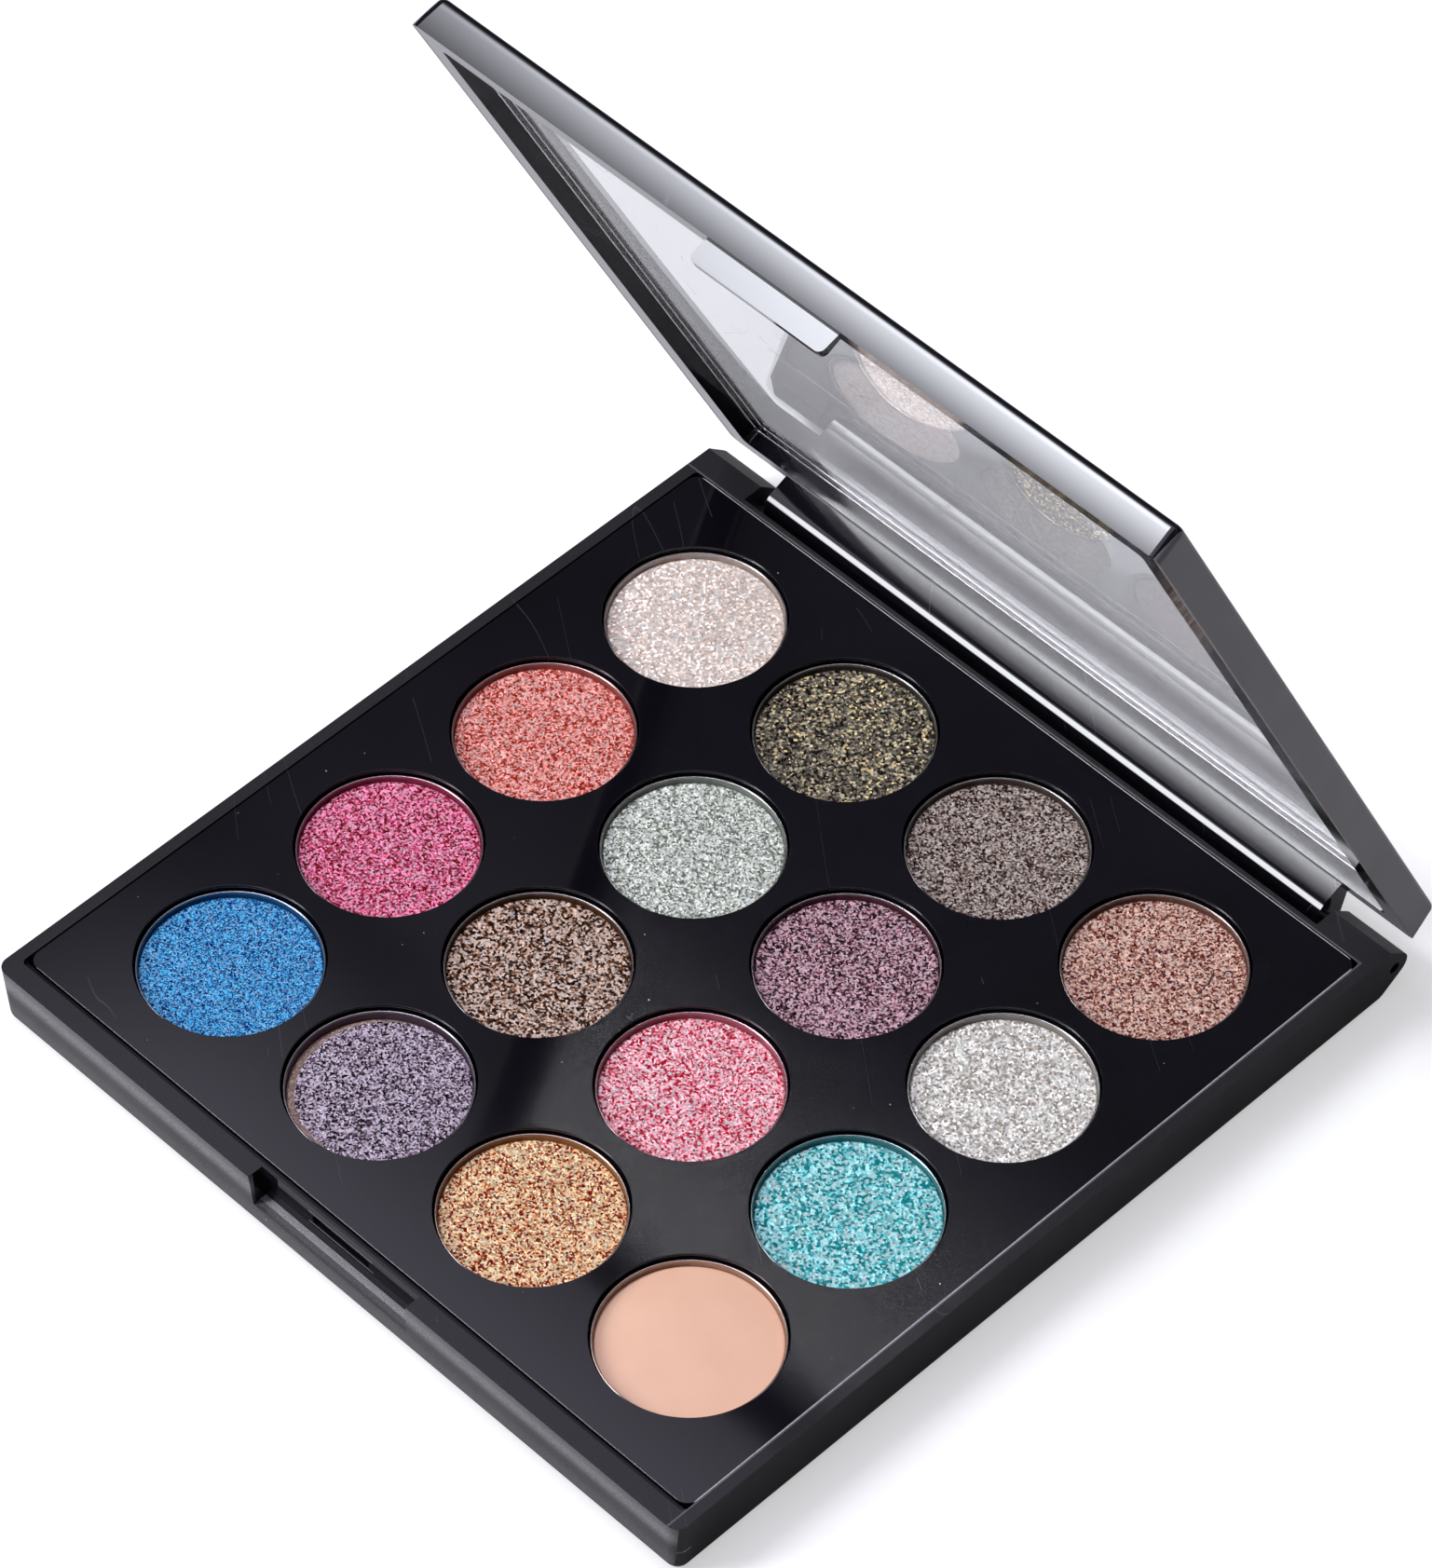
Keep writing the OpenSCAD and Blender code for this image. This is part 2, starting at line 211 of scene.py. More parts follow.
def round_bar(name, r, low, high, sides=64, along="Z", x=0.0, y=0.0, z=0.0):
    """A cylinder along an axis between two millimetre limits."""
    let_go()
    turn = {"Z": (0, 0, 0), "X": (0, math.pi / 2, 0)}[along]
    centre = Vector((x, y, z)) + (low + high) / 2 * Vector({"Z": (0, 0, 1), "X": (1, 0, 0)}[along])
    bpy.ops.mesh.primitive_cylinder_add(
        vertices=sides, radius=r * MM, depth=(high - low) * MM, location=centre * MM, rotation=turn)
    piece = bpy.context.active_object
    piece.name = name
    bpy.ops.object.transform_apply(location=True, rotation=True, scale=True)
    return piece


def open_edit(piece, faces):
    """Opens the piece for editing, choosing by faces or by edges."""
    take(piece)
    bpy.context.tool_settings.mesh_select_mode = (False, not faces, faces)
    bpy.ops.object.mode_set(mode="EDIT")


def choose(mesh, parts, test):
    """Selects the edges or faces that pass the test, with their vertices, and nothing else."""
    for kind in (mesh.vertices, mesh.edges, mesh.polygons):
        kind.foreach_set("select", [False] * len(kind))
    for part in parts:
        part.select = bool(test(part))
        if part.select:
            for i in part.vertices:
                mesh.vertices[i].select = True


def pick_edges(piece, test):
    """Opens the piece for editing with the edges chosen whose ends, in millimetres, pass the test."""
    mesh = piece.data
    choose(mesh, mesh.edges, lambda edge: test(*(mesh.vertices[i].co / MM for i in edge.vertices)))
    open_edit(piece, faces=False)


def pick_faces(piece, test):
    """Opens the piece for editing with the faces chosen whose middle, in millimetres, and normal pass."""
    choose(piece.data, piece.data.polygons, lambda face: test(face.center / MM, face.normal))
    open_edit(piece, faces=True)


def close_edit():
    """Ends the editing of a piece."""
    bpy.ops.object.mode_set(mode="OBJECT")


def round_edges(piece, offset, steps, test):
    """Bevels the edges that pass the test, by an offset in millimetres."""
    pick_edges(piece, test)
    bpy.ops.mesh.bevel(offset_type="OFFSET", offset=offset * MM, segments=steps, profile=0.5,
                       affect="EDGES", clamp_overlap=False)
    close_edit()


def slide_edges(piece, shift, test):
    """Slides the edges that pass the test by a shift in millimetres."""
    pick_edges(piece, test)
    bpy.ops.transform.translate(value=[s * MM for s in shift])
    close_edit()


def slice_off(piece, point, normal):
    """Cuts away what lies beyond the plane and closes the cut."""
    open_edit(piece, faces=True)
    bpy.ops.mesh.select_all(action="SELECT")
    bpy.ops.mesh.bisect(plane_co=[c * MM for c in point], plane_no=normal, use_fill=True, clear_outer=True,
                        threshold=0.001 * MM)
    close_edit()


def combine(piece, tool, operation):
    """Adds the tool to the piece or takes it away, and deletes the tool."""
    take(piece)
    step = piece.modifiers.new("combine", "BOOLEAN")
    step.operation = operation
    step.solver = "EXACT"
    step.object = tool
    bpy.ops.object.modifier_apply(modifier=step.name)
    bpy.data.objects.remove(tool, do_unlink=True)


def join(name, pieces):
    """Makes one piece of several that do not touch."""
    let_go()
    for piece in pieces:
        piece.select_set(True)
    bpy.context.view_layer.objects.active = pieces[0]
    bpy.ops.object.join()
    pieces[0].name = name
    return pieces[0]


def soften(piece, width, steps=3):
    """Rounds every sharp edge a little and evens out the shading of the flats."""
    take(piece)
    bpy.ops.object.mode_set(mode="EDIT")
    bpy.ops.mesh.select_all(action="SELECT")
    bpy.ops.mesh.remove_doubles(threshold=0.002 * MM)
    close_edit()
    step = piece.modifiers.new("edges", "BEVEL")
    step.width = width * MM
    step.segments = steps
    step.limit_method = "ANGLE"
    step.angle_limit = math.radians(30)
    step.miter_outer = "MITER_ARC"
    bpy.ops.object.modifier_apply(modifier=step.name)
    even_shading(piece)


def even_shading(piece):
    """Smooth shading that keeps flat faces flat."""
    take(piece)
    bpy.ops.object.shade_smooth()
    step = piece.modifiers.new("shading", "WEIGHTED_NORMAL")
    step.weight = 80
    step.keep_sharp = True
    bpy.ops.object.modifier_apply(modifier=step.name)


def upright(a, b):
    """Tells an edge that stands upright."""
    return abs(a.x - b.x) < 1.0 and abs(a.y - b.y) < 1.0 and abs(a.z - b.z) > 0.5


def level(a, b, z):
    """Tells an edge that lies at a height."""
    return abs(a.z - z) < 0.01 and abs(b.z - z) < 0.01


def plate(name, x, y, z, corner, steps=6):
    """A block whose upright corners are rounded."""
    piece = block(name, x, y, z)
    round_edges(piece, corner, steps, upright)
    return piece


def place(i):
    """The middle of a pan of the grid, counted from the front left, in millimetres."""
    return (i % 4) * PITCH - GRID_REACH, (i // 4) * PITCH - GRID_REACH


def shape_rear(base):
    """Slopes the ears and the heel and rounds the barrel between them."""
    ear, heel = math.radians(EAR_FACE), math.radians(HEEL_FACE)
    for angle in (ear, heel):
        normal = Vector((0, math.cos(angle), math.sin(angle)))
        slice_off(base, Vector((0, HINGE_Y, HINGE_Z)) + normal * BARREL_R, normal)
    round_edges(base, BARREL_R * math.tan((ear - heel) / 2), 12,
                lambda a, b: min(a.y, b.y) > HINGE_Y + 3 and abs(a.x - b.x) > 50)


def model_well():
    """The space under the tray, with sixteen rings that stand on the floor."""
    reach = (-WELL_HALF, WELL_HALF)
    well = plate("well", reach, reach, (FLOOR_T, WELL_TOP), SEAT_CORNER)
    rings = []
    for i in range(len(SHADES)):
        x, y = place(i)
        ring = round_bar(f"ring_{i}", RING_R, 1, RING_TOP, x=x, y=y)
        combine(ring, round_bar("ring_bore", RING_BORE_R, 0, 6, x=x, y=y), "DIFFERENCE")
        rings.append(ring)
    combine(well, join("rings", rings), "DIFFERENCE")
    return well


def cut_latch(base):
    """The recess that takes the latch tab, and the slot in it that takes the tab's ridge."""
    recess = block("recess", (-RECESS_HALF, RECESS_HALF), (-75, RECESS_Y), (RECESS_Z, 12))
    slide_edges(recess, (RECESS_LEAN, 0, 0), lambda a, b: level(a, b, RECESS_Z) and max(a.x, b.x) < -10)
    slide_edges(recess, (-RECESS_LEAN, 0, 0), lambda a, b: level(a, b, RECESS_Z) and min(a.x, b.x) > 10)
    combine(base, recess, "DIFFERENCE")
    slot = block("catch_slot", (-CATCH_W / 2, CATCH_W / 2), (-70, RECESS_Y + CATCH_DEPTH),
                 (CATCH_Z - CATCH_H / 2, CATCH_Z + CATCH_H / 2))
    round_edges(slot, CATCH_ROUND, 6, lambda a, b: abs(a.y - b.y) > 1)
    combine(base, slot, "DIFFERENCE")


def model_base():
    """The drafted box with its rounded rear, tray seat, groove, well, latch recess and pin holes."""
    base = block("base_case", (-SIDE, SIDE), (-FRONT, FAR), (0, BASE_H))
    slide_edges(base, (BASE_DRAFT, 0, 0), lambda a, b: level(a, b, 0) and a.x < -60 and b.x < -60)
    slide_edges(base, (-BASE_DRAFT, 0, 0), lambda a, b: level(a, b, 0) and a.x > 60 and b.x > 60)
    slide_edges(base, (0, BASE_DRAFT, 0), lambda a, b: level(a, b, 0) and a.y < -60 and b.y < -60)
    round_edges(base, BASE_CORNER, 8, lambda a, b: upright(a, b) and a.y < -60)
    shape_rear(base)
    round_edges(base, BASE_FOOT, 5, lambda a, b: level(a, b, 0) and min(a.y, b.y) < 60)

    reach = (-SEAT_HALF, SEAT_HALF)
    combine(base, plate("seat", reach, reach, (TRAY_BOTTOM, 12), SEAT_CORNER), "DIFFERENCE")
    groove = plate("groove", reach, (-SEAT_HALF - GROOVE_W, 0), (BASE_H - GROOVE_DEPTH, 12), SEAT_CORNER)
    combine(base, groove, "DIFFERENCE")
    combine(base, model_well(), "DIFFERENCE")
    combine(base, block("ear_gap", (-EAR_INNER, EAR_INNER), (REAR_FACE, FAR), (-1, 12)), "DIFFERENCE")
    cut_latch(base)
    for side in (-1, 1):
        ends = sorted(side * end for end in PIN_HOLE)
        hole = round_bar("pin_hole", PIN_R + PIN_PRESS, *ends, 48, "X", y=HINGE_Y, z=HINGE_Z)
        combine(base, hole, "DIFFERENCE")
    soften(base, EDGE)
    return base


def model_tray():
    """The moulded plate with sixteen holes, collars and ribs."""
    low = TRAY_BOTTOM - COLLAR_H
    reach = (-TRAY_HALF, TRAY_HALF)
    tray = plate("tray", reach, reach, (TRAY_BOTTOM, TRAY_TOP), TRAY_CORNER, 8)
    for lay in (-PITCH, 0, PITCH):
        across, along = (lay - RIB_T / 2, lay + RIB_T / 2), (-RIB_REACH, RIB_REACH)
        combine(tray, block("rib", across, along, (low, TRAY_BOTTOM + 0.3)), "UNION")
        combine(tray, block("rib", along, across, (low, TRAY_BOTTOM + 0.3)), "UNION")
    collars, holes = [], []
    for i in range(len(SHADES)):
        x, y = place(i)
        collars.append(round_bar(f"collar_{i}", HOLE_R + COLLAR_T, low, TRAY_BOTTOM + 0.4, 96, x=x, y=y))
        holes.append(round_bar(f"hole_{i}", HOLE_R, 5, 12, 96, x=x, y=y))
    combine(tray, join("collars", collars), "UNION")
    combine(tray, join("holes", holes), "DIFFERENCE")
    soften(tray, EDGE)
    return tray


def model_pan():
    """One pressed cup with a rounded foot and a thin rolled rim, at the grid's middle."""
    pan = round_bar("pan", PAN_R, PAN_Z, PAN_Z + PAN_H, 96)
    round_edges(pan, PAN_FOOT, 4, lambda a, b: level(a, b, PAN_Z))
    pick_faces(pan, lambda c, n: n.z > 0.9)
    bpy.ops.mesh.inset(thickness=PAN_WALL * MM)
    bpy.ops.mesh.extrude_region_move(TRANSFORM_OT_translate={"value": (0, 0, (PAN_WALL - PAN_H) * MM)})
    bpy.ops.mesh.inset(thickness=PAN_WALL * MM)
    close_edit()
    round_edges(pan, PAN_LIP, 4, lambda a, b: level(a, b, PAN_Z + PAN_H))
    even_shading(pan)
    return pan


def model_powder(r, crown=0.0):
    """A pressed disc whose top is a fine web of rings, ready to be pushed into relief."""
    powder = round_bar("powder", r, PAN_Z + PAN_WALL, POWDER_TOP, 128)
    round_edges(powder, POWDER_EDGE, 3, lambda a, b: level(a, b, POWDER_TOP))
    pick_faces(powder, lambda c, n: n.z > 0.9 and c.z > POWDER_TOP - 0.1 and abs(c.x) + abs(c.y) < 1)
    for _ in range(POWDER_RINGS):
        bpy.ops.mesh.inset(thickness=(r - 0.4) / (POWDER_RINGS + 0.6) * MM)
    bpy.ops.mesh.poke()
    close_edit()
    crest = powder.vertex_groups.new(name="crest")
    for vertex in powder.data.vertices:
        at = vertex.co / MM
        reach = math.hypot(at.x, at.y)
        if at.z > POWDER_TOP - 0.02:
            edge_fade = min(1.0, max(0.0, (r - reach) / 0.8))
            crest.add([vertex.index], 0.25 + 0.75 * edge_fade, "REPLACE")
        if crown and at.z > POWDER_TOP - 0.4:
            vertex.co.z += crown * (1 - (reach / r) ** 2) * MM
    return powder


def chip(powder):
    """Lowers a crescent at the left of a powder that lies at the grid's middle."""
    for vertex in powder.data.vertices:
        at = vertex.co / MM
        if at.z > PAN_Z + 2:
            past = math.hypot(at.x - CHIP_X, at.y - CHIP_Y) - CHIP_REACH
            vertex.co.z -= CHIP_DEPTH * min(1.0, max(0.0, past / 0.25)) * MM


def press_relief(powder, size, depth):
    """Pushes the top of a powder up and down with a noise of the given size and depth."""
    take(powder)
    noise = bpy.data.textures.new("relief", "CLOUDS")
    noise.noise_scale = size * MM
    noise.noise_depth = 3
    step = powder.modifiers.new("relief", "DISPLACE")
    step.texture = noise
    step.texture_coords = "LOCAL"
    step.direction = "Z"
    step.mid_level = 0.5
    step.strength = depth * MM
    step.vertex_group = "crest"
    bpy.ops.object.modifier_apply(modifier=step.name)


def move_by(piece, x, y):
    """Moves a piece in millimetres and holds its new place in its mesh."""
    take(piece)
    piece.location = (x * MM, y * MM, 0)
    bpy.ops.object.transform_apply(location=True, rotation=True, scale=True)


def copy_to(pattern, name, x, y):
    """A copy with its own mesh at a new place."""
    piece = pattern.copy()
    piece.data = pattern.data.copy()
    piece.name = name
    bpy.context.scene.collection.objects.link(piece)
    move_by(piece, x, y)
    return piece


def model_pins():
    """Two steel pins, each from inside the bar to near the ear's outer face."""
    pins = []
    for side, name in ((-1, "left_pin"), (1, "right_pin")):
        ends = sorted((side * (BAR_HALF - PIN_BITE), side * PIN_OUTER))
        pin = round_bar(name, PIN_R, *ends, 32, "X", y=HINGE_Y, z=HINGE_Z)
        soften(pin, PIN_EDGE, 2)
        pins.append(pin)
    return pins


def lean_cut(piece, y, z, lean, facing=1):
    """Cuts off what lies in front of a leaning plane through a point, or behind it where facing is -1."""
    lean = math.radians(lean)
    slice_off(piece, (0, y, z), (0, -facing * math.cos(lean), facing * math.sin(lean)))


def model_bar():
    """The hinge bar: round about the pins, its front face slightly hollow, its long edges rounded."""
    front, rear = HINGE_Y - BAR_FRONT, HINGE_Y + BARREL_R
    bar = block("bar", (-BAR_HALF, BAR_HALF), (front, rear), (0, LID_Z + 1))
    hinge = Vector((0, HINGE_Y, HINGE_Z))
    for facing in (Vector(BAR_SLOPE), Vector(BAR_UNDER)):
        slice_off(bar, hinge + facing * BARREL_R, facing)
    for z, lean in BAR_FRONT_CUTS:
        lean_cut(bar, front, z, lean)

    def long_edge(a, b):
        return abs(a.x - b.x) > 50 and abs(a.y - b.y) < 0.01

    def rear_edge(a, b):
        return long_edge(a, b) and abs(a.y - rear) < 0.01

    slope_offset = BARREL_R * math.tan(math.radians(BAR_SLOPE_TURN / 2))
    front_offset = BAR_FRONT_ROUND * math.tan(math.radians(BAR_UNDER_TURN / 2))
    round_edges(bar, slope_offset, 8, lambda a, b: rear_edge(a, b) and a.z > HINGE_Z)
    round_edges(bar, BAR_REAR_ROUND, 12, lambda a, b: rear_edge(a, b) and a.z < HINGE_Z)
    round_edges(bar, front_offset, 10,
                lambda a, b: long_edge(a, b) and a.y < front + 0.1 and a.z < HINGE_Z)
    return bar


def model_tab():
    """The latch tab: a drafted tongue with rounded lower corners."""
    tab = block("tab", (-TAB_HALF, TAB_HALF), TAB_Y, (LID_Z - TAB_H, LID_Z + 1))
    slide_edges(tab, (0, TAB_DRAFT, 0), lambda a, b: level(a, b, LID_Z + 1) and max(a.y, b.y) < -67)
    round_edges(tab, TAB_CORNER, 8, lambda a, b: abs(a.y - b.y) > 1 and a.z < LID_Z and b.z < LID_Z)
    return tab


def model_lid():
    """The lid frame shut: drafted frame, window seat, hinge bar, latch tab and ridge."""
    lid = block("lid", (-SIDE, SIDE), (-FRONT, LID_BACK), (LID_Z, LID_TOP))
    for shift, near in (((LID_DRAFT, 0, 0), lambda p: p.x < -60), ((-LID_DRAFT, 0, 0), lambda p: p.x > 60),
                        ((0, -LID_DRAFT, 0), lambda p: p.y > 60)):
        slide_edges(lid, shift, lambda a, b: level(a, b, LID_TOP) and near(a) and near(b))
    for y, z, lean in LID_FRONT_CUTS:
        lean_cut(lid, y, z, lean)
    round_edges(lid, LID_CORNER, 8, upright)
    round_edges(lid, LID_EDGE, 5, lambda a, b: level(a, b, LID_TOP))

    opening = block("opening", *OPENING, (8, 20))
    for y, z, lean in OPENING_REAR_CUTS:
        lean_cut(opening, y, z, lean, facing=-1)
    round_edges(opening, OPENING_CORNER, 6, upright)
    combine(lid, opening, "DIFFERENCE")
    seat = plate("window_seat", *WINDOW_SEAT, (LID_TOP - WINDOW_T, 20), WINDOW_SEAT_CORNER)
    combine(lid, seat, "DIFFERENCE")

    combine(lid, model_bar(), "UNION")
    combine(lid, model_tab(), "UNION")
    ridge_y = TAB_Y[1] + RIDGE_OUT - RIDGE_R
    ridge = round_bar("ridge", RIDGE_R, -RIDGE_HALF, RIDGE_HALF, 24, "X", y=ridge_y, z=CATCH_Z)
    combine(lid, ridge, "UNION")
    for side in (-1, 1):
        ends = sorted((side * (BAR_HALF - PIN_BITE), side * PIN_BORE_END))
        bore = round_bar("pin_bore", PIN_R + PIN_RUN, *ends, 48, "X", y=HINGE_Y, z=HINGE_Z)
        combine(lid, bore, "DIFFERENCE")
    soften(lid, EDGE)
    return lid


def model_window():
    """The clear moulding shut: a plate, the step that fills the opening and two raised rings on it."""
    under = LID_TOP - WINDOW_T
    window = plate("window", *WINDOW_PLATE, (under, LID_TOP), WINDOW_CORNER, 8)
    step = plate("step", (-STEP_SIDE, STEP_SIDE), (STEP_FRONT, STEP_REAR),
                 (under - WINDOW_STEP, LID_TOP - WINDOW_T / 2), STEP_CORNER)
    combine(window, step, "UNION")
    for inset, low in WINDOW_RINGS:
        side, front, rear = STEP_SIDE - inset, STEP_FRONT + inset, STEP_REAR - inset
        ring = plate("ring", (-side, side), (front, rear), (low, WINDOW_RING_TOP), STEP_CORNER)
        side, front, rear = side - WINDOW_RING_T, front + WINDOW_RING_T, rear - WINDOW_RING_T
        hollow = plate("hollow", (-side, side), (front, rear), (low - 1, WINDOW_RING_TOP - 0.1),
                       WINDOW_RING_CORNER)
        combine(ring, hollow, "DIFFERENCE")
        combine(window, ring, "UNION")
    soften(window, WINDOW_EDGE)
    return window


def swing_open(piece):
    """Turns a lid piece about the hinge axis from shut to its stored angle."""
    take(piece)
    bpy.ops.object.mode_set(mode="EDIT")
    bpy.ops.mesh.select_all(action="SELECT")
    bpy.ops.transform.rotate(value=math.radians(LID_OPEN), orient_axis="X", orient_type="GLOBAL",
                             center_override=(0, HINGE_Y * MM, HINGE_Z * MM))
    close_edit()


# ---------------------------------------------------------------- node helpers

def node(tree, kind, **settings):
    """A node with attributes set, or inputs where a name starts with in_."""
    made = tree.nodes.new(kind)
    for name, value in settings.items():
        if name.startswith("in_"):
            made.inputs[name[3:]].default_value = value
        else:
            setattr(made, name, value)
    return made


def feed(tree, value, socket):
    """Links an output to a socket, or sets a plain value on it."""
    if hasattr(value, "is_output"):
        tree.links.new(value, socket)
    else:
        socket.default_value = value


def calc(tree, operation, *terms, clamp=False):
    """A math node; each term is an output or a number."""
    made = node(tree, "ShaderNodeMath", operation=operation, use_clamp=clamp)
    for term, socket in zip(terms, made.inputs):
        feed(tree, term, socket)
    return made.outputs[0]


def times(tree, *factors):
    """The product of all its factors."""
    product = factors[0]
    for factor in factors[1:]:
        product = calc(tree, "MULTIPLY", product, factor)
    return product


def scaled(tree, value, gain, offset, clamp=False):
    """A value times a gain, plus an offset."""
    return calc(tree, "MULTIPLY_ADD", value, gain, offset, clamp=clamp)


def larger(tree, first, second):
    return calc(tree, "MAXIMUM", first, second)


def less(tree, first, second):
    return calc(tree, "SUBTRACT", first, second)


def absolute(tree, value):
    return calc(tree, "ABSOLUTE", value)


def above(tree, value, limit):
    """1 where a value is above a millimetre limit, else 0."""
    return calc(tree, "GREATER_THAN", value, limit * MM)


def below(tree, value, limit):
    """1 where a value is below a millimetre limit, else 0."""
    return calc(tree, "LESS_THAN", value, limit * MM)


def climb(tree, value, low, high):
    """Climbs smoothly from 0 at the low value to 1 at the high one."""
    made = node(tree, "ShaderNodeMapRange", interpolation_type="SMOOTHSTEP")
    for label, term in (("Value", value), ("From Min", low), ("From Max", high)):
        feed(tree, term, made.inputs[label])
    return made.outputs[0]


def span(tree, value, low, high):
    """The same climb between two millimetre values."""
    return climb(tree, value, low * MM, high * MM)


def vector_calc(tree, operation, first, second=None):
    """A vector math node; the second term is an output or three numbers."""
    made = node(tree, "ShaderNodeVectorMath", operation=operation)
    tree.links.new(first, made.inputs[0])
    if second is not None:
        feed(tree, second, made.inputs["Scale" if operation == "SCALE" else 1])
    return made.outputs[0]


def split_up(tree, vector):
    """The x, y and z of a vector."""
    made = tree.nodes.new("ShaderNodeSeparateXYZ")
    tree.links.new(vector, made.inputs[0])
    return made.outputs


def noise(tree, at, scale, detail, roughness=0.5):
    """The value of a noise at a place."""
    made = node(tree, "ShaderNodeTexNoise", in_Detail=detail, in_Roughness=roughness)
    tree.links.new(at, made.inputs["Vector"])
    feed(tree, scale, made.inputs["Scale"])
    return made.outputs[0]


def blend_colour(tree, share, first, second):
    """The first colour where the share is 0 and the second where it is 1."""
    made = node(tree, "ShaderNodeMix", data_type="RGBA")
    feed(tree, share, made.inputs[0])
    for slot, colour in ((6, first), (7, second)):
        feed(tree, colour if hasattr(colour, "is_output") else (*colour, 1), made.inputs[slot])
    return made.outputs[2]


def ramp(tree, value, stops):
    """A ramp through stops, each a place and a colour or a grey."""
    made = tree.nodes.new("ShaderNodeValToRGB")
    tree.links.new(value, made.inputs[0])
    while len(made.color_ramp.elements) < len(stops):
        made.color_ramp.elements.new(0.5)
    for element, (at, colour) in zip(made.color_ramp.elements, stops):
        element.position = at
        element.color = (*colour, 1) if hasattr(colour, "__len__") else (colour, colour, colour, 1)
    return made.outputs[0]


def bump(tree, shader, height, strength, distance, normal=None):
    """Tilts the shader's normal by the slope of a height."""
    made = node(tree, "ShaderNodeBump", in_Strength=strength, in_Distance=distance)
    tree.links.new(height, made.inputs["Height"])
    if normal:
        tree.links.new(normal, made.inputs["Normal"])
    tree.links.new(made.outputs[0], shader.inputs["Normal"])


# ---------------------------------------------------------------- shared effects, their sizes in millimetres

def new_group(name, takes, gives):
    """A node group with its inputs and outputs; Place and Normal are vectors, all others numbers."""
    tree = bpy.data.node_groups.new(name, "ShaderNodeTree")
    for labels, side in ((takes, "INPUT"), (gives, "OUTPUT")):
        for label in labels:
            kind = "NodeSocketVector" if label in ("Place", "Normal") else "NodeSocketFloat"
            tree.interface.new_socket(label, in_out=side, socket_type=kind)
    return tree, tree.nodes.new("NodeGroupInput").outputs, tree.nodes.new("NodeGroupOutput").inputs


def cell_grid(tree, place_in, size):
    """Random cells of a size: the cell node's outputs and each cell's random values."""
    made = node(tree, "ShaderNodeTexVoronoi", feature="F1")
    tree.links.new(place_in, made.inputs["Vector"])
    tree.links.new(calc(tree, "DIVIDE", 1 / MM, size), made.inputs["Scale"])
    chance = node(tree, "ShaderNodeSeparateColor")
    tree.links.new(made.outputs["Color"], chance.inputs[0])
    return made.outputs, chance.outputs


def dust_group():
    """Scattered specks: a share of the cells holds one, of up to a given part of the cell."""
    tree, given, out = new_group("dust_specks", ("Place", "Spacing", "Share", "Speck"), ("Mask",))
    cells, chance = cell_grid(tree, given["Place"], given["Spacing"])
    held = calc(tree, "LESS_THAN", chance[0], given["Share"])
    near = calc(tree, "LESS_THAN", cells["Distance"], times(tree, chance[1], given["Speck"]))
    tree.links.new(times(tree, held, near), out["Mask"])
    return tree


def scratch_group():
    """Hairlines: thin level lines of a stretched noise, broken up by a second noise."""
    tree, given, out = new_group("hair_scratches", ("Place", "Turn", "Density", "Width"), ("Mask",))
    turn = node(tree, "ShaderNodeVectorRotate", rotation_type="Z_AXIS")
    tree.links.new(given["Place"], turn.inputs["Vector"])
    tree.links.new(given["Turn"], turn.inputs["Angle"])
    stretched = vector_calc(tree, "MULTIPLY", turn.outputs[0], (9.0, 90.0, 45.0))
    off = absolute(tree, less(tree, noise(tree, stretched, given["Density"], 1.0), 0.5))
    thin = calc(tree, "LESS_THAN", off, given["Width"])
    kept = calc(tree, "GREATER_THAN", noise(tree, given["Place"], 70.0, 2.0), 0.56)
    tree.links.new(times(tree, thin, kept), out["Mask"])
    return tree


def grain_group():
    """Fine moulded grain: a height and a light and dark mottle."""
    tree, given, out = new_group("moulded_grain", ("Place", "Grain"), ("Height", "Mottle"))
    scale = calc(tree, "DIVIDE", 1 / MM, given["Grain"])
    tree.links.new(noise(tree, given["Place"], scale, 2.0, 0.6), out["Height"])
    tree.links.new(noise(tree, given["Place"], 120.0, 3.0), out["Mottle"])
    return tree


def flake_group():
    """Glitter flakes: two random values, a height and a tilted normal for each flake."""
    labels = ("Shade", "Spark", "Height", "Normal")
    tree, given, out = new_group("glitter_flakes", ("Place", "Flake", "Tilt", "Normal"), labels)
    cells, chance = cell_grid(tree, given["Place"], given["Flake"])
    tilt = vector_calc(tree, "SUBTRACT", cells["Color"], (0.5, 0.5, 0.5))
    tilt = vector_calc(tree, "SCALE", tilt, given["Tilt"])
    normal = vector_calc(tree, "NORMALIZE", vector_calc(tree, "ADD", tilt, given["Normal"]))
    for label, value in zip(labels, (chance[0], chance[1], cells["Distance"], normal)):
        tree.links.new(value, out[label])
    return tree


GROUPS = {"dust": dust_group(), "scratch": scratch_group(), "grain": grain_group(), "flakes": flake_group()}


def use_group(tree, name, at, **values):
    """A shared effect at a place; gives its outputs."""
    made = tree.nodes.new("ShaderNodeGroup")
    made.node_tree = GROUPS[name]
    tree.links.new(at, made.inputs["Place"])
    for label, value in values.items():
        feed(tree, value, made.inputs[label])
    return made.outputs


# ---------------------------------------------------------------- finishes

def start_material(name):
    """A material, its tree, its Principled shader and its Object coordinates."""
    material = bpy.data.materials.new(name)
    material.use_nodes = True
    tree = material.node_tree
    at = tree.nodes.new("ShaderNodeTexCoord").outputs["Object"]
    return material, tree, tree.nodes["Principled BSDF"], at


def lid_walls(tree, xyz):
    """The lid's outer side walls."""
    return above(tree, absolute(tree, xyz[0]), WALL_X)


